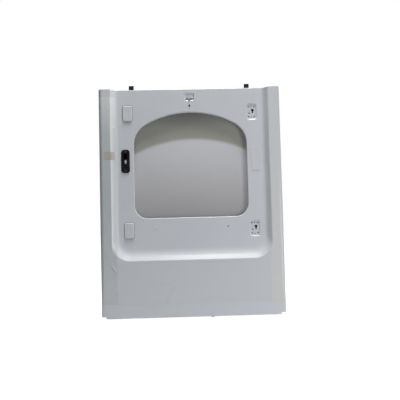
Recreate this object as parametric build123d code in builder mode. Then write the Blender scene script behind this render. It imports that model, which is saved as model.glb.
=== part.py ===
from math import atan, cos, hypot, sqrt, tan
import os

from build123d import *

# Front frame of a tumble dryer: a deep-drawn sheet-steel panel with a door latch, a door switch,
# hinge pockets for a reversible door, blank caps on the unused side and bumpers on top.
# Millimetres. X right, Y into the machine from the column fronts, Z up from the bottom edge.

# Panel pressing
panel_width = 686
panel_height = 858
panel_depth = 50
sheet = 0.8
edge_r = 14
bend_r = 2.5
lip_r = 3.6
lip_width = 16
flange_setback = 4
corner_relief_width = 19
corner_relief_height = 7
overcut = 5

# Recess round the door. Land is the flat floor between the opening and the foot of the rim. The rim
# slopes straight down from its edge and then sweeps round a cove on to the floor, run being the whole
# way in from edge to floor.
land_width = 57.5
column_share = 0.634
recess_depth = 20
sill_height = 210
rim_sill_run = 42
rim_corner_r = 65
floor_corner_r = 50
rim_r = 2.6
side_cove = 20
sill_cove = 44
cove_share = 0.9
cove_steps = 5

# Door opening
opening_width = 429
opening_sill_land = 115.5
opening_top_land = 89.5
crown_r = 345
shoulder_r = 90
opening_corner_r = 48
collar_depth = 11
collar_r = 3.2

# Hinge pockets, two on each side for a reversible door
pocket_width = 40
pocket_height = 64
pocket_corner_r = 11
pocket_depth = 3
pocket_run = 4
pocket_foot_r = 1.6
pocket_mouth_r = 2
hinge_hole_r = 3
hinge_pitch_x = 22
hinge_pitch_z = 38
mid_hole_r = 2
keyhole_r = 5.5
keyhole_slot = 5.6
keyhole_drop = 9
keyhole_x = 4.5
keyhole_z = 6
hinge_plate_thick = 1.6
tapped_r = 2.5

# Blank hinge caps, standing in the pockets on the unused side
cap_width = 36.5
cap_height = 58.5
cap_corner_r = 7
cap_rise = 4
cap_wall = 2
cap_edge_r = 3
cap_gap = 0.4
cap_foot_inset = 5.5
peg_clearance = 0.3

# Door latch
bezel_width = 32
bezel_height = 89
bezel_corner_r = 11
bezel_thick = 2.5
latch_body_width = 24
latch_body_height = 62
latch_body_depth = 25
latch_wall = 2
cutout_clearance = 0.5
mouth_width = 15
mouth_height = 20
mouth_rise = 18
roller_r = 8.5
roller_width = 8.6
roller_drop = 2.5
roller_setback = 5.2
roller_gap = 0.45
lever_cheek = 2.2
lever_pivot_drop = 24
lever_pivot_setback = 13
lever_hub_r = 5
lever_eye_r = 4
pivot_pin_r = 2
roller_pin_r = 1.5
running_clearance = 0.05
spring_wire_r = 0.4
spring_r = 3.3
spring_turns = 2

# Screws
screw_head_r = 3.6
screw_head_height = 2
screw_shank_r = 1.9
screw_length = 9
screw_clearance = 0.3
latch_screw_pitch = 71

# Door switch in the top pocket
switch_drop = 30.5
switch_pocket_width = 37
switch_pocket_height = 30
switch_pocket_corner_r = 6
switch_pocket_depth = 2.5
switch_pocket_run = 3
switch_slot_width = 32
switch_slot_height = 4.6
switch_slot_drop = 8.6
switch_body_width = 36
switch_body_height = 22
switch_body_depth = 15
switch_ear_width = 18
switch_ear_height = 20
switch_screw_drop = 33.5
actuator_width = 8
actuator_thick = 1.8
actuator_reach = 11
actuator_rise = 8.3
actuator_hub_r = 2.8
actuator_pin_r = 1.2
actuator_side_gap = 0.6

# Top bumpers
bumper_rim_gap = 50.5
bumper_setback = 33
bumper_rise = 18.5
bumper_lobe_r = 4.9
bumper_lobe_pitch = 9.4
bumper_stem_r = 3
bumper_stem_length = 7
bumper_barb = 1.2

# Small holes, plug and locating dimple
duct_hole_r = 2.7
duct_hole_spread = 0.63
duct_hole_drop = 36.5
plug_head_r = 4.4
plug_head_height = 1.4
dimple_x = 68
dimple_setback = 11.5
dimple_half_width = 9
dimple_drop = 5.5
fixing_hole_r = 2.7
fixing_end = 59
fixing_inset = 10
base_hole_end = 93

# Places that follow from the sizes above
opening_half = opening_width / 2
floor_half = opening_half + land_width
frame_side = panel_width / 2 - floor_half
column_width = column_share * frame_side
rim_side_run = frame_side - column_width
side_cove_r = min(side_cove, cove_share * (rim_side_run**2 / recess_depth + recess_depth) / 2)
sill_cove_r = min(sill_cove, cove_share * (rim_sill_run**2 / recess_depth + recess_depth) / 2)
opening_bottom = sill_height + rim_sill_run + opening_sill_land
opening_height = panel_height - opening_top_land - opening_bottom
hinge_x = opening_half + 0.383 * land_width
hinge_z = opening_bottom + 0.44 * opening_height
hinge_spacing = opening_height + 0.675 * pocket_height
latch_x = -(opening_half + 0.557 * land_width)
latch_z = opening_bottom + 0.541 * opening_height
floor_back = recess_depth + sheet
pocket_floor = recess_depth + pocket_depth
pocket_back = pocket_floor + sheet
switch_z = panel_height - switch_drop
switch_floor = recess_depth + switch_pocket_depth
switch_back = switch_floor + sheet
slot_z = switch_z - switch_slot_drop
switch_screw_z = switch_z - switch_screw_drop
duct_hole_x = duct_hole_spread * opening_half
duct_hole_z = opening_bottom - duct_hole_drop
base_hole_x = panel_width / 2 - base_hole_end
bumper_x = floor_half - bumper_rim_gap
bumper_points = [(side * bumper_x, bumper_setback) for side in (-1, 1)]
hinge_points = [
    (side * hinge_x, hinge_z + level * hinge_spacing / 2)
    for side in (-1, 1)
    for level in (-1, 1)
]
corner_holes = [
    (column * hinge_pitch_x / 2, row * hinge_pitch_z / 2)
    for column in (-1, 1)
    for row in (-1, 1)
]
fixing_points = [
    (side * (panel_width / 2 - fixing_inset), panel_height / 2 + level * (panel_height / 2 - fixing_end))
    for side in (-1, 1)
    for level in (-1, 1)
]
latch_screw_points = [(latch_x, latch_z + level * latch_screw_pitch / 2) for level in (-1, 1)]


def upright(depth):
    """Upright drawing plane at a depth behind the column fronts, X right and Z up."""
    return Plane.XZ.offset(-depth)


def across(x):
    """Side-view drawing plane at a place across the panel, depth right and Z up."""
    return Plane.YZ.offset(x)


def rim_angle(run, cove_r):
    """Angle between floor and rim when the straight slope and the cove together take up the run."""
    spare = 2 * cove_r - recess_depth
    return 2 * atan(recess_depth / (run + sqrt(run**2 - spare * recess_depth)))


def rim_reach(depth, run, cove_r, inset):
    """How far the rim has come in from its edge at a depth, for a skin moved back by inset."""
    angle = rim_angle(run, cove_r)
    ball = cove_r + inset
    below = depth - (recess_depth - cove_r)
    if below > ball * cos(angle):
        return run - sqrt(max(ball**2 - below**2, 0))
    slope = 1 / tan(angle)
    return slope * depth - inset * hypot(1, slope)


def rim_outline(depth, inset):
    """Outline of the recess at a depth, for a skin moved back by inset."""
    side_reach = rim_reach(depth, rim_side_run, side_cove_r, inset)
    sill_reach = rim_reach(depth, rim_sill_run, sill_cove_r, inset)
    half = panel_width / 2 - column_width - side_reach
    low = sill_height + sill_reach
    high = panel_height + column_width
    radius = rim_corner_r + (floor_corner_r - rim_corner_r) * sill_reach / rim_sill_run + inset
    with BuildSketch(upright(depth)) as outline:
        with Locations((0, (low + high) / 2)):
            Rectangle(2 * half, high - low)
        fillet(outline.vertices().group_by(Axis.Y)[0], radius)
    return outline.sketch


def recess_tool(inset):
    """Solid that cuts the recess out of the block: a straight mouth, then a coved foot."""
    angle = rim_angle(rim_sill_run, sill_cove_r)
    turns = [angle * (1 - step / cove_steps) for step in range(cove_steps + 1)]
    cove_depths = [recess_depth - sill_cove_r + (sill_cove_r + inset) * cos(turn) for turn in turns]
    with BuildPart() as tool:
        loft([rim_outline(-overcut, inset), rim_outline(cove_depths[0], inset)], ruled=True)
        loft([rim_outline(depth, inset) for depth in cove_depths])
    return tool.part


def opening_sketch(depth, grow):
    """Domed door opening: straight sides and sill, round shoulders and a flatter crown."""
    half = opening_half + grow
    low = opening_bottom - grow
    crown = crown_r + grow
    shoulder = shoulder_r + grow
    crown_z = opening_bottom + opening_height - crown_r
    reach = half - shoulder
    rise = ((crown - shoulder) ** 2 - reach**2) ** 0.5
    stretch = crown / (crown - shoulder)
    spring_z = crown_z + rise
    left_join = (-reach * stretch, crown_z + rise * stretch)
    right_join = (reach * stretch, crown_z + rise * stretch)
    with BuildSketch(upright(depth)) as outline:
        with BuildLine():
            Line((-half, low), (half, low))
            Line((half, low), (half, spring_z))
            TangentArc((half, spring_z), right_join, tangent=(0, 1))
            ThreePointArc(right_join, (0, crown_z + crown), left_join)
            TangentArc((-half, spring_z), left_join, tangent=(0, 1))
            Line((-half, spring_z), (-half, low))
        make_face()
        fillet(outline.vertices().group_by(Axis.Y)[0], opening_corner_r + grow)
    return outline.sketch


def pocket_tool(x, z, width, height, corner_r, deep, run, inset):
    """Solid that cuts one drafted pocket into the recess floor."""
    slope = run / deep
    sections = []
    for depth in (-overcut, deep + inset):
        grow = inset * hypot(1, slope) - slope * depth
        with BuildSketch(upright(recess_depth + depth)) as outline:
            with Locations((x, z)):
                RectangleRounded(width + 2 * grow, height + 2 * grow, corner_r + grow)
        sections.append(outline.sketch)
    with BuildPart() as tool:
        loft(sections, ruled=True)
        fillet(tool.faces().sort_by(Axis.Y)[-1].edges(), pocket_foot_r + inset)
    return tool.part


def hinge_pocket(point, inset):
    """Cutting solid for one hinge pocket."""
    x, z = point
    return pocket_tool(x, z, pocket_width, pocket_height, pocket_corner_r, pocket_depth, pocket_run, inset)


def switch_pocket(inset):
    """Cutting solid for the switch pocket at the top."""
    return pocket_tool(
        0,
        switch_z,
        switch_pocket_width,
        switch_pocket_height,
        switch_pocket_corner_r,
        switch_pocket_depth,
        switch_pocket_run,
        inset,
    )


def edges_near(edges, depth, x, z, half_x, half_z):
    """Edges lying at one depth whose middles fall inside an upright window."""
    level = edges.filter_by_position(Axis.Y, depth - 0.01, depth + 0.01)
    return [
        edge
        for edge in level
        if abs(edge.center().X - x) < half_x and abs(edge.center().Z - z) < half_z
    ]


def pressing(inset):
    """Closed block whose front skin is the panel's skin moved back by inset."""
    with BuildPart() as block:
        with BuildSketch(Plane.XY.offset(inset)) as plan:
            with Locations((0, panel_depth / 2)):
                Rectangle(panel_width - 2 * inset, panel_depth - 2 * inset)
            fillet(plan.vertices().group_by(Axis.Y)[0], edge_r - inset)
            fillet(plan.vertices().group_by(Axis.Y)[-1], lip_r - inset)
        extrude(amount=panel_height - 2 * inset)

        add(recess_tool(inset), mode=Mode.SUBTRACT)
        rim_half = panel_width / 2 - column_width + 1
        rim_mid = (sill_height + panel_height) / 2
        rim_window = (panel_height - sill_height) / 2
        rim = edges_near(block.edges(), inset, 0, rim_mid, rim_half, rim_window + 1)
        fillet(rim, rim_r - inset)

        top = block.faces().sort_by(Axis.Z)[-1]
        fillet(top.edges(), bend_r - inset)
        bottom = block.faces().sort_by(Axis.Z)[0]
        fillet(bottom.edges(), bend_r - inset)

        with BuildSketch(upright(0)):
            add(opening_sketch(0, inset))
        extrude(amount=-panel_depth, mode=Mode.SUBTRACT)
        opening_mid = opening_bottom + opening_height / 2
        hem = edges_near(
            block.edges(), recess_depth + inset, 0, opening_mid, opening_half + 2, opening_height / 2 + 2
        )
        fillet(hem, collar_r - inset)

        for x, z in hinge_points:
            add(hinge_pocket((x, z), inset), mode=Mode.SUBTRACT)
            mouth = edges_near(
                block.edges(), recess_depth + inset, x, z, pocket_width / 2 + 2, pocket_height / 2 + 2
            )
            fillet(mouth, pocket_mouth_r - inset)

        add(switch_pocket(inset), mode=Mode.SUBTRACT)
        switch_mouth = edges_near(
            block.edges(),
            recess_depth + inset,
            0,
            switch_z,
            switch_pocket_width / 2 + 2,
            switch_pocket_height / 2 + 2,
        )
        fillet(switch_mouth, pocket_mouth_r - inset)

        dimple_r = (dimple_half_width**2 + dimple_drop**2) / (2 * dimple_drop)
        with Locations((dimple_x, dimple_setback, dimple_r - dimple_drop)):
            Sphere(dimple_r - inset)
    return block.part


def hinge_holes(corner_r):
    """Screw holes, keyhole and gauge holes of one hinge, drawn round the pocket centre."""
    with BuildSketch() as holes:
        with Locations(*corner_holes):
            Circle(corner_r)
        with Locations((keyhole_x, keyhole_z)):
            Circle(keyhole_r)
        with Locations((keyhole_x, keyhole_z - keyhole_drop / 2)):
            Rectangle(keyhole_slot, keyhole_drop)
        with Locations((keyhole_x, keyhole_z - keyhole_drop)):
            Circle(keyhole_slot / 2)
        with Locations((-0.4 * hinge_pitch_x, -0.3 * keyhole_drop * 2)):
            SlotOverall(3.4 * mid_hole_r, 2 * mid_hole_r)
        with Locations((0, hinge_pitch_z / 2 + mid_hole_r), (0, -hinge_pitch_z / 2 - mid_hole_r)):
            Circle(mid_hole_r)
    return holes.sketch


with BuildPart() as front_panel:
    add(pressing(0))
    add(pressing(sheet), mode=Mode.SUBTRACT)

    # Open back, with the side lips left standing
    with Locations((0, panel_depth - flange_setback / 2 + overcut / 2, panel_height / 2)):
        Box(
            panel_width - 2 * lip_width,
            flange_setback + overcut,
            panel_height + 2 * overcut,
            mode=Mode.SUBTRACT,
        )

    # Collar of the opening trimmed to its depth
    with BuildSketch(upright(recess_depth + collar_depth)):
        add(opening_sketch(0, 2 * sheet))
    extrude(amount=-panel_depth, mode=Mode.SUBTRACT)

    # Relieved bottom corners
    with Locations(
        (-panel_width / 2, panel_depth / 2, 0),
        (panel_width / 2, panel_depth / 2, 0),
    ):
        Box(2 * corner_relief_width, 2 * panel_depth, 2 * corner_relief_height, mode=Mode.SUBTRACT)

    # Hinge holes on all four pocket floors
    for x, z in hinge_points:
        with BuildSketch(upright(pocket_floor - 1)):
            with Locations((x, z)):
                add(hinge_holes(hinge_hole_r))
        extrude(amount=-(sheet + 2), mode=Mode.SUBTRACT)

    # Latch cut-outs, screw holes, duct holes and the switch screw hole through the recess floor
    with BuildSketch(upright(recess_depth - 1)):
        with Locations((latch_x, latch_z), (-latch_x, latch_z)):
            RectangleRounded(
                latch_body_width + 2 * cutout_clearance,
                latch_body_height + 2 * cutout_clearance,
                1.5,
            )
        with Locations(*latch_screw_points):
            Circle(screw_shank_r + screw_clearance)
        with Locations((-duct_hole_x, duct_hole_z), (duct_hole_x, duct_hole_z)):
            Circle(duct_hole_r)
        with Locations((0, switch_screw_z)):
            Circle(screw_shank_r + screw_clearance)
    extrude(amount=-(sheet + 2), mode=Mode.SUBTRACT)

    # Actuator slot in the switch pocket floor
    with BuildSketch(upright(switch_floor - 1)):
        with Locations((0, slot_z)):
            SlotOverall(switch_slot_width, switch_slot_height)
    extrude(amount=-(sheet + 2), mode=Mode.SUBTRACT)

    # Cabinet screw holes in the side lips
    with BuildSketch(upright(panel_depth - flange_setback)):
        with Locations(*fixing_points):
            Circle(fixing_hole_r)
    extrude(amount=-2 * flange_setback, mode=Mode.SUBTRACT)

    # Bumper holes in the top flange and base screw holes in the bottom flange
    with BuildSketch(Plane.XY.offset(panel_height + 1)):
        with Locations(*bumper_points):
            Circle(bumper_stem_r + peg_clearance)
    extrude(amount=-(sheet + 2), mode=Mode.SUBTRACT)
    with BuildSketch(Plane.XY.offset(-1)):
        with Locations((-base_hole_x, panel_depth / 2), (base_hole_x, panel_depth / 2)):
            Circle(fixing_hole_r)
    extrude(amount=sheet + 2, mode=Mode.SUBTRACT)


def hinge_plate(point):
    """Weld-on plate behind a pocket floor, tapped for the hinge screws."""
    x, z = point
    with BuildPart() as plate:
        with BuildSketch(upright(pocket_back)):
            with Locations((x, z)):
                RectangleRounded(pocket_width, pocket_height - 2, pocket_corner_r - 3)
                add(hinge_holes(tapped_r), mode=Mode.SUBTRACT)
        extrude(amount=-hinge_plate_thick)
    return plate.part


def hinge_cap(point):
    """Hollow blank cap: a foot ring stands on the pocket floor and four pegs enter the hinge holes."""
    x, z = point
    foot_width = cap_width - 2 * cap_foot_inset
    foot_height = cap_height - 2 * cap_foot_inset
    roof = recess_depth - cap_rise + cap_wall
    with BuildPart() as cap:
        with BuildSketch(upright(recess_depth - cap_gap)):
            with Locations((x, z)):
                RectangleRounded(cap_width, cap_height, cap_corner_r)
        extrude(amount=cap_rise - cap_gap)
        fillet(cap.faces().sort_by(Axis.Y)[0].edges(), cap_edge_r)
        with BuildSketch(upright(pocket_floor)):
            with Locations((x, z)):
                RectangleRounded(foot_width, foot_height, cap_corner_r / 2)
        extrude(amount=pocket_floor - roof)
        with BuildSketch(upright(pocket_floor)):
            with Locations((x, z)):
                RectangleRounded(foot_width - 2 * cap_wall, foot_height - 2 * cap_wall, cap_wall)
        extrude(amount=pocket_floor - roof, mode=Mode.SUBTRACT)
        with BuildSketch(upright(pocket_back)):
            with Locations((x, z)):
                with Locations(*corner_holes):
                    Circle(hinge_hole_r - peg_clearance)
        extrude(amount=pocket_back - roof)
    return cap.part


def pan_screw(x, z, seat):
    """Pan-head screw with a cross recess, driven from the front."""
    with BuildPart() as screw:
        with BuildSketch(upright(seat)):
            with Locations((x, z)):
                Circle(screw_head_r)
        extrude(amount=screw_head_height)
        fillet(screw.faces().sort_by(Axis.Y)[0].edges(), screw_head_height / 2)
        with BuildSketch(upright(seat)):
            with Locations((x, z)):
                Circle(screw_shank_r)
        extrude(amount=-screw_length)
        with BuildSketch(upright(seat - screw_head_height)):
            with Locations((x, z)):
                Rectangle(screw_head_r, screw_head_r / 4)
                Rectangle(screw_head_r / 4, screw_head_r)
        extrude(amount=-screw_head_height / 2, mode=Mode.SUBTRACT)
    return screw.part


# Door latch, left of the opening
bezel_front = recess_depth - bezel_thick
pivot_y = recess_depth + lever_pivot_setback
pivot_z = latch_z - lever_pivot_drop
axle_y = recess_depth + roller_setback
axle_z = latch_z - roller_drop
lever_half = roller_width / 2 + roller_gap + lever_cheek
latch_inner_half = latch_body_width / 2 - latch_wall

with BuildPart() as latch_housing:
    with BuildSketch(upright(recess_depth)):
        with Locations((latch_x, latch_z)):
            RectangleRounded(bezel_width, bezel_height, bezel_corner_r)
    extrude(amount=bezel_thick)
    fillet(latch_housing.faces().sort_by(Axis.Y)[0].edges(), bezel_thick / 2.5)
    with BuildSketch(upright(recess_depth)):
        with Locations((latch_x, latch_z)):
            RectangleRounded(latch_body_width, latch_body_height, 1)
    extrude(amount=-latch_body_depth)
    with BuildSketch(upright(recess_depth)):
        with Locations((latch_x, latch_z)):
            Rectangle(latch_body_width - 2 * latch_wall, latch_body_height - 2 * latch_wall)
    extrude(amount=-(latch_body_depth - latch_wall), mode=Mode.SUBTRACT)
    with BuildSketch(upright(bezel_front)):
        with Locations((latch_x, latch_z + mouth_rise)):
            RectangleRounded(mouth_width, mouth_height, 3)
        with Locations((latch_x, axle_z)):
            RectangleRounded(roller_width + 2 * roller_gap, 2 * roller_r, roller_width / 3)
        with Locations(*latch_screw_points):
            Circle(screw_shank_r + screw_clearance)
    extrude(amount=-bezel_thick, mode=Mode.SUBTRACT)
    with BuildSketch(upright(bezel_front)):
        with Locations(*latch_screw_points):
            Circle(screw_head_r + screw_clearance)
    extrude(amount=-bezel_thick / 2, mode=Mode.SUBTRACT)
    with BuildSketch(across(latch_x)):
        with Locations((pivot_y, pivot_z)):
            Circle(pivot_pin_r)
    extrude(amount=latch_body_width, both=True, mode=Mode.SUBTRACT)

with BuildPart() as latch_lever:
    with BuildSketch(across(latch_x)):
        with Locations((pivot_y, pivot_z)):
            Circle(lever_hub_r)
        with Locations((axle_y, axle_z)):
            Circle(lever_eye_r)
        make_hull()
    extrude(amount=lever_half, both=True)
    with BuildSketch(across(latch_x)):
        with Locations((axle_y, axle_z)):
            Circle(roller_r + 2 * roller_gap)
    extrude(amount=lever_half - lever_cheek, both=True, mode=Mode.SUBTRACT)
    with BuildSketch(across(latch_x)):
        with Locations((pivot_y, pivot_z)):
            Circle(pivot_pin_r + running_clearance)
        with Locations((axle_y, axle_z)):
            Circle(roller_pin_r)
    extrude(amount=lever_half, both=True, mode=Mode.SUBTRACT)

with BuildPart() as latch_roller:
    with BuildSketch(across(latch_x)):
        with Locations((axle_y, axle_z)):
            Circle(roller_r)
            Circle(roller_pin_r + running_clearance, mode=Mode.SUBTRACT)
    extrude(amount=roller_width / 2, both=True)
    fillet(latch_roller.edges().filter_by(GeomType.CIRCLE).group_by(SortBy.RADIUS)[-1], roller_width / 3)

with BuildPart() as latch_roller_pin:
    with BuildSketch(across(latch_x)):
        with Locations((axle_y, axle_z)):
            Circle(roller_pin_r)
    extrude(amount=lever_half, both=True)

with BuildPart() as latch_pivot_pin:
    with BuildSketch(across(latch_x)):
        with Locations((pivot_y, pivot_z)):
            Circle(pivot_pin_r)
    extrude(amount=latch_body_width / 2, both=True)

# Torsion spring beside the lever hub, one leg bearing on the back of the bezel
spring_start = latch_x + lever_half + 2 * spring_wire_r
spring_plane = Plane(origin=(spring_start, pivot_y, pivot_z), x_dir=(0, 0, -1), z_dir=(1, 0, 0))
spring_pitch = 2.2 * spring_wire_r
with BuildPart() as spring_coil:
    with BuildLine() as coil:
        Helix(pitch=spring_pitch, height=spring_pitch * spring_turns, radius=spring_r)
    with BuildSketch(Plane(origin=coil.line @ 0, z_dir=coil.line % 0)):
        Circle(spring_wire_r)
    sweep()
    with BuildSketch(Plane.XZ.offset(lever_pivot_setback)):
        with Locations((spring_r, 0)):
            Circle(spring_wire_r)
    extrude(amount=-(lever_pivot_setback + spring_wire_r))
latch_spring = spring_coil.part.moved(spring_plane.location)

latch_screw_lower, latch_screw_upper = [
    pan_screw(x, z, recess_depth - bezel_thick / 2) for x, z in latch_screw_points
]

# Blank cover over the unused latch cut-out, right of the opening
cover_thick = 0.4 * bezel_thick
leg_reach = sheet + 2.5
leg_z = latch_body_height / 2 - latch_wall / 2
with BuildPart() as latch_hole_cover:
    with BuildSketch(upright(recess_depth)):
        with Locations((-latch_x, latch_z)):
            RectangleRounded(bezel_width, bezel_height, bezel_corner_r / 2)
    extrude(amount=cover_thick)
    fillet(latch_hole_cover.faces().sort_by(Axis.Y)[0].edges(), cover_thick / 2)
    with BuildSketch(upright(recess_depth)):
        with Locations((-latch_x, latch_z - leg_z), (-latch_x, latch_z + leg_z)):
            Rectangle(latch_body_width / 2, latch_wall)
    extrude(amount=-leg_reach)
    hook_z = leg_z + latch_wall / 2
    with BuildSketch(upright(floor_back + screw_clearance)):
        with Locations((-latch_x, latch_z - hook_z), (-latch_x, latch_z + hook_z)):
            Rectangle(latch_body_width / 2, latch_wall)
    extrude(amount=-(leg_reach - sheet - screw_clearance))

# Door switch behind the top pocket
actuator_z = slot_z - actuator_thick / 3
actuator_y = switch_floor - 3 + actuator_reach
ear_low = switch_screw_z - switch_ear_height / 2
ear_high = switch_screw_z + switch_ear_height / 2
body_low = ear_high - 2
body_high = body_low + switch_body_height
ear_back = switch_back + 0.35 * switch_body_depth
with BuildPart() as switch_body:
    with BuildSketch(upright(switch_back)):
        with Locations((0, (body_low + body_high) / 2)):
            RectangleRounded(switch_body_width, switch_body_height, 2)
    extrude(amount=-switch_body_depth)
    with BuildSketch(upright(floor_back)):
        with Locations((0, (ear_low + switch_z - switch_pocket_height / 2 - 4) / 2)):
            Rectangle(switch_ear_width, switch_z - switch_pocket_height / 2 - 4 - ear_low)
    extrude(amount=-(ear_back - floor_back))
    with BuildSketch(upright(switch_back)):
        with Locations((0, slot_z)):
            Rectangle(actuator_width + 2 * actuator_side_gap, 3.4 * actuator_hub_r)
    extrude(amount=-0.8 * switch_body_depth, mode=Mode.SUBTRACT)
    with BuildSketch(upright(floor_back)):
        with Locations((0, switch_screw_z)):
            Circle(screw_shank_r)
    extrude(amount=-(screw_length + 1), mode=Mode.SUBTRACT)
    with BuildSketch(across(0)):
        with Locations((actuator_y, actuator_z)):
            Circle(actuator_pin_r)
    extrude(amount=switch_body_width, both=True, mode=Mode.SUBTRACT)

tip_front = switch_floor - 3 - actuator_thick
with BuildPart() as switch_actuator:
    with BuildSketch(across(0)):
        with Locations((actuator_y, actuator_z)):
            Circle(actuator_hub_r)
        with Locations(((tip_front + actuator_y) / 2, actuator_z)):
            Rectangle(actuator_y - tip_front, actuator_thick)
        with Locations((tip_front + actuator_thick / 2, actuator_z + actuator_rise / 2)):
            Rectangle(actuator_thick, actuator_rise)
        with Locations((actuator_y, actuator_z)):
            Circle(actuator_pin_r + running_clearance, mode=Mode.SUBTRACT)
    extrude(amount=actuator_width / 2, both=True)

with BuildPart() as switch_pin:
    with BuildSketch(across(0)):
        with Locations((actuator_y, actuator_z)):
            Circle(actuator_pin_r)
    extrude(amount=switch_body_width / 2, both=True)

switch_screw = pan_screw(0, switch_screw_z, recess_depth)


def bumper(point):
    """Two-lobed moulded bumper with a barbed stem through the top flange."""
    x, y = point
    with BuildPart() as block:
        with BuildSketch(Plane.XY.offset(panel_height)):
            with Locations((x - bumper_lobe_pitch / 2, y), (x + bumper_lobe_pitch / 2, y)):
                Circle(bumper_lobe_r)
            with Locations((x, y)):
                Rectangle(bumper_lobe_pitch, bumper_lobe_r)
        extrude(amount=bumper_rise)
        fillet(block.faces().sort_by(Axis.Z)[-1].edges(), bumper_lobe_r / 4)
        with BuildSketch(Plane.XY.offset(panel_height)):
            with Locations((x, y)):
                Circle(bumper_stem_r)
        extrude(amount=-bumper_stem_length)
        with BuildSketch(Plane.XY.offset(panel_height - sheet)):
            with Locations((x, y)):
                Circle(bumper_stem_r + bumper_barb)
        extrude(amount=-bumper_stem_length / 2, taper=25)
    return block.part


with BuildPart() as duct_plug:
    with BuildSketch(upright(recess_depth)):
        with Locations((-duct_hole_x, duct_hole_z)):
            Circle(plug_head_r)
    extrude(amount=plug_head_height)
    fillet(duct_plug.faces().sort_by(Axis.Y)[0].edges(), plug_head_height / 2)
    with BuildSketch(upright(recess_depth)):
        with Locations((-duct_hole_x, duct_hole_z)):
            Circle(duct_hole_r - peg_clearance)
    extrude(amount=-4 * plug_head_height)

lower_left, upper_left, lower_right, upper_right = hinge_points
left_bumper, right_bumper = bumper_points
pieces = {
    "front_panel": front_panel.part,
    "hinge_plate_lower_left": hinge_plate(lower_left),
    "hinge_plate_upper_left": hinge_plate(upper_left),
    "hinge_plate_lower_right": hinge_plate(lower_right),
    "hinge_plate_upper_right": hinge_plate(upper_right),
    "hinge_cap_lower": hinge_cap(lower_left),
    "hinge_cap_upper": hinge_cap(upper_left),
    "latch_housing": latch_housing.part,
    "latch_lever": latch_lever.part,
    "latch_roller": latch_roller.part,
    "latch_roller_pin": latch_roller_pin.part,
    "latch_pivot_pin": latch_pivot_pin.part,
    "latch_spring": latch_spring,
    "latch_screw_lower": latch_screw_lower,
    "latch_screw_upper": latch_screw_upper,
    "latch_hole_cover": latch_hole_cover.part,
    "switch_body": switch_body.part,
    "switch_actuator": switch_actuator.part,
    "switch_pin": switch_pin.part,
    "switch_screw": switch_screw,
    "bumper_left": bumper(left_bumper),
    "bumper_right": bumper(right_bumper),
    "duct_plug": duct_plug.part,
}

# The shared frame has its origin under the middle of the whole piece
home = Location((0, -panel_depth / 2, dimple_drop))
os.makedirs("parts", exist_ok=True)
for name, piece in pieces.items():
    placed = piece.moved(home)
    placed.label = name
    export_step(placed, f"parts/{name}.step")
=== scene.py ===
import math

import bpy
from mathutils import Euler, Matrix, Vector
from mathutils.bvhtree import BVHTree


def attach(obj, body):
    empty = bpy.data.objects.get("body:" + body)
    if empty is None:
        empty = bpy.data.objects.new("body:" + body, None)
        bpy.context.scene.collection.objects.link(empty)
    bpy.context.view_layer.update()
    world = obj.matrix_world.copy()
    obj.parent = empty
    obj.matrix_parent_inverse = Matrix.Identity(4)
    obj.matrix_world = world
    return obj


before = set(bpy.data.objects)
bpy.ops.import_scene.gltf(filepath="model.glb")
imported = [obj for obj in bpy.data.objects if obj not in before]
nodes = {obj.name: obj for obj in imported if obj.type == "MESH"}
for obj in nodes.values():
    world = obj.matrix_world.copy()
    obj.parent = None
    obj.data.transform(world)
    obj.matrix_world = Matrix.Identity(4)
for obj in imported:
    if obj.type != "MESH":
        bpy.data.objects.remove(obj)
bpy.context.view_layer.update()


# The front panel is one deep-drawn sheet of mild steel, about 0.8 mm thick. It is degreased, primed and
# sprayed with a white satin enamel, which leaves a fine orange peel and slow changes of tone.
def new_finish(name):
    finish = bpy.data.materials.new(name)
    finish.use_nodes = True
    return finish


def shader_of(finish):
    return finish.node_tree.nodes["Principled BSDF"]


noise_low = 0.3
noise_high = 0.7


def add_noise(finish, scale, detail=3.0, stretch=(1, 1, 1)):
    tree = finish.node_tree
    place = tree.nodes.new("ShaderNodeTexCoord")
    turn = tree.nodes.new("ShaderNodeMapping")
    turn.inputs["Scale"].default_value = stretch
    noise = tree.nodes.new("ShaderNodeTexNoise")
    noise.inputs["Scale"].default_value = scale
    noise.inputs["Detail"].default_value = detail
    tree.links.new(place.outputs["Object"], turn.inputs["Vector"])
    tree.links.new(turn.outputs["Vector"], noise.inputs["Vector"])
    return noise


def add_tone(finish, scale, low, high, stretch=(1, 1, 1)):
    noise = add_noise(finish, scale, 4.0, stretch)
    ramp = finish.node_tree.nodes.new("ShaderNodeValToRGB")
    ramp.color_ramp.elements[0].position = noise_low
    ramp.color_ramp.elements[0].color = (*low, 1)
    ramp.color_ramp.elements[1].position = noise_high
    ramp.color_ramp.elements[1].color = (*high, 1)
    finish.node_tree.links.new(noise.outputs["Fac"], ramp.inputs["Fac"])
    finish.node_tree.links.new(ramp.outputs["Color"], shader_of(finish).inputs["Base Color"])


def add_gloss(finish, scale, low, high, stretch=(1, 1, 1)):
    noise = add_noise(finish, scale, 2.0, stretch)
    spread = finish.node_tree.nodes.new("ShaderNodeMapRange")
    spread.inputs["From Min"].default_value = noise_low
    spread.inputs["From Max"].default_value = noise_high
    spread.inputs["To Min"].default_value = low
    spread.inputs["To Max"].default_value = high
    finish.node_tree.links.new(noise.outputs["Fac"], spread.inputs["Value"])
    finish.node_tree.links.new(spread.outputs["Result"], shader_of(finish).inputs["Roughness"])


def add_grain(finish, scale, strength, height, stretch=(1, 1, 1)):
    noise = add_noise(finish, scale, 3.0, stretch)
    bump = finish.node_tree.nodes.new("ShaderNodeBump")
    bump.inputs["Strength"].default_value = strength
    bump.inputs["Distance"].default_value = height
    finish.node_tree.links.new(noise.outputs["Fac"], bump.inputs["Height"])
    finish.node_tree.links.new(bump.outputs["Normal"], shader_of(finish).inputs["Normal"])


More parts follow.
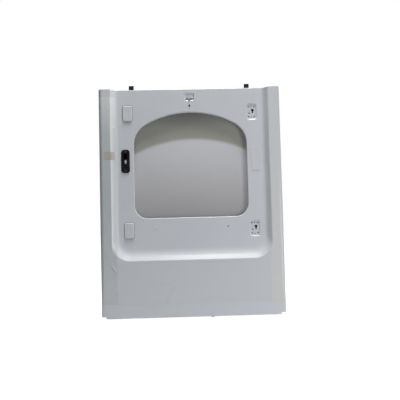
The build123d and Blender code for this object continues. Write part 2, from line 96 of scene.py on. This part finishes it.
def dress(node, finish):
    nodes[node].data.materials.clear()
    nodes[node].data.materials.append(finish)


enamel = new_finish("white_satin_enamel")
add_tone(enamel, 5, (0.562, 0.589, 0.634), (0.59, 0.616, 0.658))
add_gloss(enamel, 9, 0.3, 0.37)
add_grain(enamel, 420, 0.08, 0.0004)
shader_of(enamel).inputs["Specular IOR Level"].default_value = 0.5
dress("front_panel", enamel)


# The four hinge plates are stamped from 1.6 mm zinc-plated strip, tapped and spot-welded behind the
# pockets. The plating is pale grey with a faint rolled grain; here its colour is painted a darker grey,
# as painted shade for the plates' place behind the panel, so that they read dark through the pocket
# holes.
plated = new_finish("zinc_plate_painted_dark")
shader_of(plated).inputs["Metallic"].default_value = 1.0
add_tone(plated, 30, (0.36, 0.365, 0.37), (0.45, 0.455, 0.46))
add_gloss(plated, 160, 0.32, 0.5, (1, 1, 12))
add_grain(plated, 300, 0.1, 0.0002, (1, 1, 14))
for plate in (
    "hinge_plate_lower_left",
    "hinge_plate_upper_left",
    "hinge_plate_lower_right",
    "hinge_plate_upper_right",
):
    dress(plate, plated)


# Thin films guard the enamel of the columns and of the lower face until the part is fitted. Each is
# rolled on in one length. Those on the columns lap over the outer bend and the edge of the recess,
# and all have lifted in a few creases.
skin_mesh = nodes["front_panel"].data
skin = BVHTree.FromPolygons(
    [corner.co for corner in skin_mesh.vertices],
    [face.vertices for face in skin_mesh.polygons],
)
film_lift = 0.00018
film_thickness = 0.0001
film_step_across = 0.0015
film_step_up = 0.003


def crease(x, z, middle, lean, length, width, height):
    run = (x - middle[0]) * math.cos(lean) + (z - middle[1]) * math.sin(lean)
    side = (z - middle[1]) * math.cos(lean) - (x - middle[0]) * math.sin(lean)
    return height * math.exp(-((run / length) ** 2) - (side / width) ** 2)


def lay_on_panel(name, left, right, bottom, top, lift, step_across, step_up, thickness):
    across = max(2, round((right - left) / step_across))
    up = max(2, round((top - bottom) / step_up))
    under = []
    over = []
    for row in range(up + 1):
        z = bottom + (top - bottom) * row / up
        for column in range(across + 1):
            x = left + (right - left) * column / across
            hit, facing, _, _ = skin.ray_cast(Vector((x, -0.3, z)), Vector((0, 1, 0)))
            if facing.y > 0:
                facing = -facing
            under.append(hit + facing * lift(x, z))
            over.append(hit + facing * (lift(x, z) + thickness))
    wide = across + 1
    back = len(over)
    faces = []
    for row in range(up):
        for column in range(across):
            first = row * wide + column
            faces.append((first, first + 1, first + wide + 1, first + wide))
            faces.append((back + first, back + first + wide, back + first + wide + 1, back + first + 1))
    for column in range(across):
        last = up * wide + column
        faces.append((column + 1, column, back + column, back + column + 1))
        faces.append((last, last + 1, back + last + 1, back + last))
    for row in range(up):
        first = row * wide
        last = first + across
        faces.append((first, first + wide, back + first + wide, back + first))
        faces.append((last + wide, last, back + last, back + last + wide))
    mesh = bpy.data.meshes.new(name)
    mesh.from_pydata(over + under, [], faces)
    mesh.polygons.foreach_set("use_smooth", [True] * len(mesh.polygons))
    mesh.set_sharp_from_angle(angle=math.radians(50))
    piece = bpy.data.objects.new(name, mesh)
    bpy.context.scene.collection.objects.link(piece)
    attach(piece, "frame")
    return piece


def left_film_lift(x, z):
    height = film_lift
    height += crease(x, z, (-0.294, 0.190), math.radians(-54), 0.020, 0.0026, 0.0011)
    height += crease(x, z, (-0.289, 0.185), math.radians(-40), 0.009, 0.0030, 0.0008)
    height += crease(x, z, (-0.291, 0.108), math.radians(-57), 0.013, 0.0024, 0.0009)
    height += crease(x, z, (-0.300, 0.714), math.radians(2), 0.022, 0.0020, 0.0004)
    height += crease(x, z, (-0.289, 0.716), math.radians(60), 0.006, 0.0030, 0.0009)
    return height


def right_film_lift(x, z):
    height = film_lift
    height += crease(x, z, (0.2965, 0.585), math.radians(88), 0.050, 0.0022, 0.0010)
    height += crease(x, z, (0.298, 0.622), math.radians(55), 0.009, 0.0035, 0.0010)
    height += crease(x, z, (0.304, 0.640), math.radians(-30), 0.012, 0.0025, 0.0004)
    return height


def lower_film_lift(x, z):
    height = film_lift
    height += crease(x, z, (-0.118, 0.136), math.radians(12), 0.026, 0.0090, 0.0005)
    height += crease(x, z, (-0.085, 0.128), math.radians(-25), 0.012, 0.0050, 0.0004)
    height += crease(x, z, (0.150, 0.178), math.radians(4), 0.090, 0.0060, 0.0003)
    return height


film_gap = 0.0005
film_outer_edge = 0.3413
left_film_edge = -0.281
left_film_foot = 0.058
left_film_head = 0.8335
right_film_edge = 0.290
right_film_foot = 0.052
right_film_head = 0.8235
lower_film_foot = 0.0545
lower_film_head = 0.2115
left_film = lay_on_panel(
    "left_film",
    -film_outer_edge,
    left_film_edge,
    left_film_foot,
    left_film_head,
    left_film_lift,
    film_step_across,
    film_step_up,
    film_thickness,
)
right_film = lay_on_panel(
    "right_film",
    right_film_edge,
    film_outer_edge,
    right_film_foot,
    right_film_head,
    right_film_lift,
    film_step_across,
    film_step_up,
    film_thickness,
)
lower_film = lay_on_panel(
    "lower_film",
    left_film_edge + film_gap,
    right_film_edge - film_gap,
    lower_film_foot,
    lower_film_head,
    lower_film_lift,
    film_step_up,
    film_step_up,
    film_thickness,
)


# Each stop of a film's tones is a height and the colour there. Faint streaks shift the heights a little.
streak_shift = 0.15


def film_finish(name, stops):
    film = new_finish(name)
    tree = film.node_tree
    streaks = add_noise(film, 7, 4.0, (1, 1, 0.3))
    place = tree.nodes.new("ShaderNodeTexCoord")
    split = tree.nodes.new("ShaderNodeSeparateXYZ")
    waver = tree.nodes.new("ShaderNodeMath")
    waver.operation = "MULTIPLY_ADD"
    waver.inputs[1].default_value = streak_shift
    tone = tree.nodes.new("ShaderNodeValToRGB")
    tone.color_ramp.elements[0].position = stops[0][0]
    tone.color_ramp.elements[0].color = (*stops[0][1], 1)
    tone.color_ramp.elements[1].position = stops[-1][0]
    tone.color_ramp.elements[1].color = (*stops[-1][1], 1)
    for height, colour in stops[1:-1]:
        tone.color_ramp.elements.new(height).color = (*colour, 1)
    tree.links.new(place.outputs["Object"], split.inputs["Vector"])
    tree.links.new(streaks.outputs["Fac"], waver.inputs[0])
    tree.links.new(split.outputs["Z"], waver.inputs[2])
    tree.links.new(waver.outputs["Value"], tone.inputs["Fac"])
    tree.links.new(tone.outputs["Color"], shader_of(film).inputs["Base Color"])
    add_gloss(film, 14, 0.27, 0.31, (1, 1, 0.25))
    add_grain(film, 60, 0.02, 0.0012, (1, 1, 0.5))
    return film


# The left film's tones are painted light and shade: darker up the column, as painted shade, and whiter
# near its top, as a painted highlight.
left_light_and_shade_tones = [
    (0.2, (0.51, 0.543, 0.563)),
    (0.55, (0.455, 0.492, 0.515)),
    (0.75, (0.488, 0.527, 0.545)),
    (0.9, (0.65, 0.685, 0.705)),
]
# The right film is drawn lighter than the left, as painted light.
right_painted_light_tones = [(0.15, (0.595, 0.605, 0.61)), (0.92, (0.585, 0.612, 0.635))]
lower_tones = [(0.1, (0.562, 0.588, 0.622)), (0.4, (0.557, 0.585, 0.62))]
left_film_light_and_shade = film_finish("guard_film_left_painted_light_and_shade", left_light_and_shade_tones)
left_film.data.materials.append(left_film_light_and_shade)
right_film.data.materials.append(film_finish("guard_film_right_painted_light", right_painted_light_tones))
lower_film.data.materials.append(film_finish("guard_film_lower", lower_tones))

# Where the left film lies over the edge of the recess, above a set height, it is painted whiter: a
# painted highlight on the slope that faces the light.
rim_highlight_start = -0.301
rim_highlight_foot = 0.235
rim_highlight_full = 0.275
rim_highlight_tree = left_film_light_and_shade.node_tree
rim_highlight_place = rim_highlight_tree.nodes.new("ShaderNodeTexCoord")
rim_highlight_split = rim_highlight_tree.nodes.new("ShaderNodeSeparateXYZ")
rim_highlight_reach = rim_highlight_tree.nodes.new("ShaderNodeMapRange")
rim_highlight_reach.inputs["From Min"].default_value = rim_highlight_start
rim_highlight_reach.inputs["From Max"].default_value = left_film_edge
rim_highlight_share = rim_highlight_tree.nodes.new("ShaderNodeValToRGB")
rim_highlight_share.color_ramp.elements[0].color = (0, 0, 0, 1)
rim_highlight_share.color_ramp.elements[1].color = (0.1, 0.1, 0.1, 1)
rim_highlight_share.color_ramp.elements.new(0.14).color = (1, 1, 1, 1)
rim_highlight_share.color_ramp.elements.new(0.6).color = (0.35, 0.35, 0.35, 1)
rim_highlight_rise = rim_highlight_tree.nodes.new("ShaderNodeMapRange")
rim_highlight_rise.inputs["From Min"].default_value = rim_highlight_foot
rim_highlight_rise.inputs["From Max"].default_value = rim_highlight_full
rim_highlight_both = rim_highlight_tree.nodes.new("ShaderNodeMath")
rim_highlight_both.operation = "MULTIPLY"
rim_highlight_tone = rim_highlight_tree.nodes.new("ShaderNodeMix")
rim_highlight_tone.data_type = "RGBA"
rim_highlight_tone.inputs[7].default_value = (0.72, 0.735, 0.74, 1)
film_tone = shader_of(left_film_light_and_shade).inputs["Base Color"].links[0].from_socket
rim_highlight_tree.links.new(rim_highlight_place.outputs["Object"], rim_highlight_split.inputs["Vector"])
rim_highlight_tree.links.new(rim_highlight_split.outputs["X"], rim_highlight_reach.inputs["Value"])
rim_highlight_tree.links.new(rim_highlight_reach.outputs["Result"], rim_highlight_share.inputs["Fac"])
rim_highlight_tree.links.new(rim_highlight_split.outputs["Z"], rim_highlight_rise.inputs["Value"])
rim_highlight_tree.links.new(rim_highlight_share.outputs["Color"], rim_highlight_both.inputs[0])
rim_highlight_tree.links.new(rim_highlight_rise.outputs["Result"], rim_highlight_both.inputs[1])
rim_highlight_tree.links.new(rim_highlight_both.outputs["Value"], rim_highlight_tone.inputs[0])
rim_highlight_tree.links.new(film_tone, rim_highlight_tone.inputs[6])
rim_highlight_tree.links.new(rim_highlight_tone.outputs[2], shader_of(left_film_light_and_shade).inputs["Base Color"])


# One short tab of grey packing tape holds the left film down where it crosses the edge of the recess.
# It is pressed on by hand over the film.
tape_gap = 0.0001
tape_lift = film_lift + film_thickness + tape_gap
tape_left = -0.325
tape_right = -0.2865
tape_foot = 0.5945
tape_head = 0.6245
tape_step = 0.0015


def tape_height(x, z):
    return tape_lift + crease(x, z, (-0.298, 0.610), math.radians(90), 0.020, 0.0040, 0.0004)


tab = lay_on_panel(
    "tape_tab",
    tape_left,
    tape_right,
    tape_foot,
    tape_head,
    tape_height,
    tape_step,
    tape_step,
    film_thickness,
)
tape = new_finish("grey_tape")
add_tone(tape, 60, (0.4, 0.4, 0.36), (0.47, 0.465, 0.42), (1, 1, 0.4))
add_gloss(tape, 90, 0.4, 0.55)
add_grain(tape, 700, 0.25, 0.0003)
tab.data.materials.append(tape)


# The blank hinge caps, the cover over the spare latch hole and the small plug are moulded in white
# plastic. They snap into the holes that the other hand of door would use.
moulded_white = new_finish("moulded_white_plastic")
add_tone(moulded_white, 18, (0.57, 0.592, 0.622), (0.6, 0.618, 0.645))
add_gloss(moulded_white, 40, 0.34, 0.44)
add_grain(moulded_white, 900, 0.08, 0.0002)
for blank in ("hinge_cap_lower", "hinge_cap_upper", "latch_hole_cover", "duct_plug"):
    dress(blank, moulded_white)


# The door latch is a black moulded housing screwed to the recess from the front. Behind its mouth a
# sprung lever carries a pale nylon roller that grips the door's strike.
moulded_black = new_finish("moulded_black_plastic")
add_tone(moulded_black, 60, (0.004, 0.0042, 0.005), (0.008, 0.0083, 0.0095))
add_gloss(moulded_black, 80, 0.42, 0.55)
add_grain(moulded_black, 1500, 0.25, 0.0002)
shader_of(moulded_black).inputs["Specular IOR Level"].default_value = 0.08
dress("latch_housing", moulded_black)

nylon = new_finish("grey_nylon")
add_tone(nylon, 90, (0.4, 0.4, 0.42), (0.5, 0.5, 0.52))
add_gloss(nylon, 120, 0.38, 0.5)
add_grain(nylon, 1200, 0.1, 0.0001)
shader_of(nylon).inputs["Subsurface Weight"].default_value = 0.08
dress("latch_lever", nylon)
dress("latch_roller", nylon)

turned_steel = new_finish("turned_steel")
shader_of(turned_steel).inputs["Metallic"].default_value = 1.0
add_tone(turned_steel, 140, (0.4, 0.41, 0.42), (0.52, 0.53, 0.54))
add_gloss(turned_steel, 500, 0.22, 0.36, (14, 1, 1))
add_grain(turned_steel, 900, 0.08, 0.0001, (14, 1, 1))
for pin in ("latch_roller_pin", "latch_pivot_pin", "latch_spring", "switch_pin"):
    dress(pin, turned_steel)

black_zinc = new_finish("black_zinc")
shader_of(black_zinc).inputs["Metallic"].default_value = 0.8
add_tone(black_zinc, 200, (0.02, 0.02, 0.022), (0.045, 0.045, 0.048))
add_gloss(black_zinc, 300, 0.35, 0.5)
add_grain(black_zinc, 1500, 0.15, 0.0001)
for screw in ("latch_screw_lower", "latch_screw_upper", "switch_screw"):
    dress(screw, black_zinc)


# The door switch sits behind the small pocket over the opening, held by one screw. Its grey nylon
# rocker comes out through the slot, where the closing door presses it.
dress("switch_body", moulded_black)
dress("switch_actuator", nylon)


# Two black rubber bumpers stand on the top flange. Each is moulded in one piece with a barbed stem
# that is pulled through its hole.
rubber = new_finish("black_rubber")
add_tone(rubber, 120, (0.006, 0.006, 0.006), (0.013, 0.013, 0.013))
add_gloss(rubber, 150, 0.55, 0.75)
add_grain(rubber, 1100, 0.3, 0.0003)
shader_of(rubber).inputs["Specular IOR Level"].default_value = 0.2
dress("bumper_left", rubber)
dress("bumper_right", rubber)


# The floor is a plain pale sweep, shown white as in a catalogue picture. It falls a little short of
# white round the panel, so that the panel's soft shadow shows there.
def add_card(name, corners):
    mesh = bpy.data.meshes.new(name)
    mesh.from_pydata(corners, [], [(0, 1, 2, 3)])
    card = bpy.data.objects.new(name, mesh)
    bpy.context.scene.collection.objects.link(card)
    return card


def whiten(tree, plain, lit, out):
    ray = tree.nodes.new("ShaderNodeLightPath")
    seen = tree.nodes.new("ShaderNodeMath")
    seen.operation = "MAXIMUM"
    through = tree.nodes.new("ShaderNodeMath")
    through.operation = "MAXIMUM"
    swap = tree.nodes.new("ShaderNodeMixShader")
    tree.links.new(ray.outputs["Is Camera Ray"], seen.inputs[0])
    tree.links.new(ray.outputs["Is Glossy Ray"], seen.inputs[1])
    tree.links.new(seen.outputs[0], through.inputs[0])
    tree.links.new(ray.outputs["Is Transmission Ray"], through.inputs[1])
    tree.links.new(through.outputs[0], swap.inputs[0])
    tree.links.new(plain, swap.inputs[1])
    tree.links.new(lit, swap.inputs[2])
    tree.links.new(swap.outputs["Shader"], out)


floor_reach = 14.0
near_glow = 0.9
near_reach = 0.5
far_glow = 1.0
far_reach = 1.6
floor = add_card(
    "floor",
    [
        (-floor_reach, -floor_reach, 0),
        (floor_reach, -floor_reach, 0),
        (floor_reach, floor_reach, 0),
        (-floor_reach, floor_reach, 0),
    ],
)
pale = new_finish("pale_floor")
shader_of(pale).inputs["Base Color"].default_value = (0.62, 0.62, 0.63, 1)
shader_of(pale).inputs["Roughness"].default_value = 0.9
glow = pale.node_tree.nodes.new("ShaderNodeEmission")
spot = pale.node_tree.nodes.new("ShaderNodeTexCoord")
away = pale.node_tree.nodes.new("ShaderNodeVectorMath")
away.operation = "LENGTH"
rise = pale.node_tree.nodes.new("ShaderNodeMapRange")
rise.inputs["From Min"].default_value = near_reach
rise.inputs["From Max"].default_value = far_reach
rise.inputs["To Min"].default_value = near_glow
rise.inputs["To Max"].default_value = far_glow
pale.node_tree.links.new(spot.outputs["Object"], away.inputs[0])
pale.node_tree.links.new(away.outputs["Value"], rise.inputs["Value"])
pale.node_tree.links.new(rise.outputs["Result"], glow.inputs["Strength"])
both = pale.node_tree.nodes.new("ShaderNodeAddShader")
pale.node_tree.links.new(shader_of(pale).outputs["BSDF"], both.inputs[0])
pale.node_tree.links.new(glow.outputs["Emission"], both.inputs[1])
whiten(
    pale.node_tree,
    shader_of(pale).outputs["BSDF"],
    both.outputs["Shader"],
    pale.node_tree.nodes["Material Output"].inputs["Surface"],
)
floor.data.materials.append(pale)


# A card stands close behind the opening, as the wall does in the picture, with light and shade painted on
# it: a round pool of painted cool light, fading downwards, under a warm dark band of painted shadow. It
# shows only from the front, so the back of the panel stays in view.
card_half = 0.226
card_low = 0.362
card_high = 0.788
card_back = 0.0165
wall = add_card(
    "wall_card",
    [
        (-card_half, card_back, card_low),
        (card_half, card_back, card_low),
        (card_half, card_back, card_high),
        (-card_half, card_back, card_high),
    ],
)


def clear_from_behind(finish):
    tree = finish.node_tree
    clear = tree.nodes.new("ShaderNodeBsdfTransparent")
    side = tree.nodes.new("ShaderNodeNewGeometry")
    pick = tree.nodes.new("ShaderNodeMixShader")
    tree.links.new(side.outputs["Backfacing"], pick.inputs[0])
    tree.links.new(shader_of(finish).outputs["BSDF"], pick.inputs[1])
    tree.links.new(clear.outputs["BSDF"], pick.inputs[2])
    tree.links.new(pick.outputs["Shader"], tree.nodes["Material Output"].inputs["Surface"])


pool_middle = (0.01, 0.194)
pool_edge = 0.48
pool_blur = 0.009
wall_light_and_shadow = new_finish("wall_light_and_shadow")
wall_tree = wall_light_and_shadow.node_tree
wall_place = wall_tree.nodes.new("ShaderNodeTexCoord")
wall_split = wall_tree.nodes.new("ShaderNodeSeparateXYZ")
wall_shift = wall_tree.nodes.new("ShaderNodeMapping")
wall_shift.inputs["Scale"].default_value = (1, 0, 1)
wall_shift.inputs["Location"].default_value = (-pool_middle[0], 0, -pool_middle[1])
pool_reach = wall_tree.nodes.new("ShaderNodeVectorMath")
pool_reach.operation = "LENGTH"
pool_side = wall_tree.nodes.new("ShaderNodeMapRange")
pool_side.interpolation_type = "SMOOTHSTEP"
pool_side.inputs["From Min"].default_value = pool_edge - pool_blur
pool_side.inputs["From Max"].default_value = pool_edge + pool_blur


def fade_upwards(low, low_colour, high, high_colour):
    fade = wall_tree.nodes.new("ShaderNodeValToRGB")
    fade.color_ramp.elements[0].position = low
    fade.color_ramp.elements[0].color = (*low_colour, 1)
    fade.color_ramp.elements[1].position = high
    fade.color_ramp.elements[1].color = (*high_colour, 1)
    wall_tree.links.new(wall_split.outputs["Z"], fade.inputs["Fac"])
    return fade


# Painted light: the pool is lighter upwards. Painted shadow: the band darkens towards the top of the
# opening.
pool = fade_upwards(0.37, (0.345, 0.345, 0.355), 0.66, (0.65, 0.662, 0.695))
band = fade_upwards(0.72, (0.365, 0.362, 0.328), 0.785, (0.125, 0.125, 0.122))
wall_tone = wall_tree.nodes.new("ShaderNodeMix")
wall_tone.data_type = "RGBA"
wall_tree.links.new(wall_place.outputs["Object"], wall_split.inputs["Vector"])
wall_tree.links.new(wall_place.outputs["Object"], wall_shift.inputs["Vector"])
wall_tree.links.new(wall_shift.outputs["Vector"], pool_reach.inputs[0])
wall_tree.links.new(pool_reach.outputs["Value"], pool_side.inputs["Value"])
wall_tree.links.new(pool_side.outputs["Result"], wall_tone.inputs[0])
wall_tree.links.new(pool.outputs["Color"], wall_tone.inputs[6])
wall_tree.links.new(band.outputs["Color"], wall_tone.inputs[7])
wall_tree.links.new(wall_tone.outputs[2], shader_of(wall_light_and_shadow).inputs["Base Color"])
shader_of(wall_light_and_shadow).inputs["Roughness"].default_value = 0.9
clear_from_behind(wall_light_and_shadow)
wall.data.materials.append(wall_light_and_shadow)


# A dark card behind the whole panel is painted shade for the dark space behind it, and makes the panel's
# small holes read dark from the front. It throws no shadow and takes no light from the back of the panel,
# and the plated steel doesn't mirror it.
shade_half = 0.325
shade_low = 0.03
shade_high = 0.855
shade_back = 0.0262
shade = add_card(
    "shade_card",
    [
        (-shade_half, shade_back, shade_low),
        (shade_half, shade_back, shade_low),
        (shade_half, shade_back, shade_high),
        (-shade_half, shade_back, shade_high),
    ],
)
shade_paint = new_finish("shade_paint")
shader_of(shade_paint).inputs["Base Color"].default_value = (0.03, 0.03, 0.03, 1)
shader_of(shade_paint).inputs["Roughness"].default_value = 0.9
clear_from_behind(shade_paint)
shade.data.materials.append(shade_paint)
shade.visible_shadow = False
shade.visible_diffuse = False
shade.visible_glossy = False


# A dark grey flag on the left gives the outer bend its dark edge. The camera doesn't see it and it throws
# no shadow.
flag_side = -0.8
flag_front = -1.3
flag_rear = 0.9
flag_top = 1.6
flag = add_card(
    "flag",
    [
        (flag_side, flag_front, 0),
        (flag_side, flag_rear, 0),
        (flag_side, flag_rear, flag_top),
        (flag_side, flag_front, flag_top),
    ],
)
flag_cloth = new_finish("flag_cloth")
shader_of(flag_cloth).inputs["Base Color"].default_value = (0.16, 0.16, 0.165, 1)
shader_of(flag_cloth).inputs["Roughness"].default_value = 1.0
flag.data.materials.append(flag_cloth)
flag.visible_camera = False
flag.visible_shadow = False


# The key lamp hangs nearly overhead, as a ceiling lamp does. A weak side lamp on the right and a lamp
# behind keep the other sides readable.
aim_height = 0.45


def add_lamp(name, place, size, power, colour):
    data = bpy.data.lights.new(name, "AREA")
    data.size = size
    data.energy = power
    data.color = colour
    lamp = bpy.data.objects.new(name, data)
    lamp.location = place
    lamp.rotation_euler = (Vector((0, 0, aim_height)) - Vector(place)).to_track_quat("-Z", "Y").to_euler()
    bpy.context.scene.collection.objects.link(lamp)


add_lamp("key_lamp", place=(0.2, -0.43, 2.8), size=0.72, power=67, colour=(1, 0.975, 0.925))
add_lamp("side_lamp", place=(1.2, -1.2, 0.25), size=0.6, power=7.2, colour=(1, 1, 1))
add_lamp("back_lamp", place=(0, 1.5, 2.2), size=1.0, power=28, colour=(1, 1, 1))

scene = bpy.context.scene
world = bpy.data.worlds.new("studio")
scene.world = world
world.use_nodes = True
sky = world.node_tree.nodes["Background"]
sky.inputs["Color"].default_value = (0.103, 0.112, 0.128, 1)
white = world.node_tree.nodes.new("ShaderNodeBackground")
white.inputs["Color"].default_value = (1, 1, 1, 1)
whiten(
    world.node_tree,
    sky.outputs["Background"],
    white.outputs["Background"],
    world.node_tree.nodes["World Output"].inputs["Surface"],
)


# The camera stands in front at about knee height, looking slightly up, turned and rolled as the
# picture was taken.
camera_place = (-0.0087, -1.7408, 0.3486)
camera_yaw = -1.32
camera_pitch = 2.92
camera_roll = 1.48
camera_data = bpy.data.cameras.new("camera")
camera_data.sensor_width = 36
camera_data.lens = 41.4
camera = bpy.data.objects.new("camera", camera_data)
level = Euler((math.radians(90 + camera_pitch), 0, math.radians(camera_yaw))).to_matrix()
tilt = Matrix.Rotation(math.radians(-camera_roll), 3, "Z")
camera.matrix_world = Matrix.Translation(camera_place) @ (level @ tilt).to_4x4()
scene.collection.objects.link(camera)
scene.camera = camera
scene.view_settings.view_transform = "Standard"
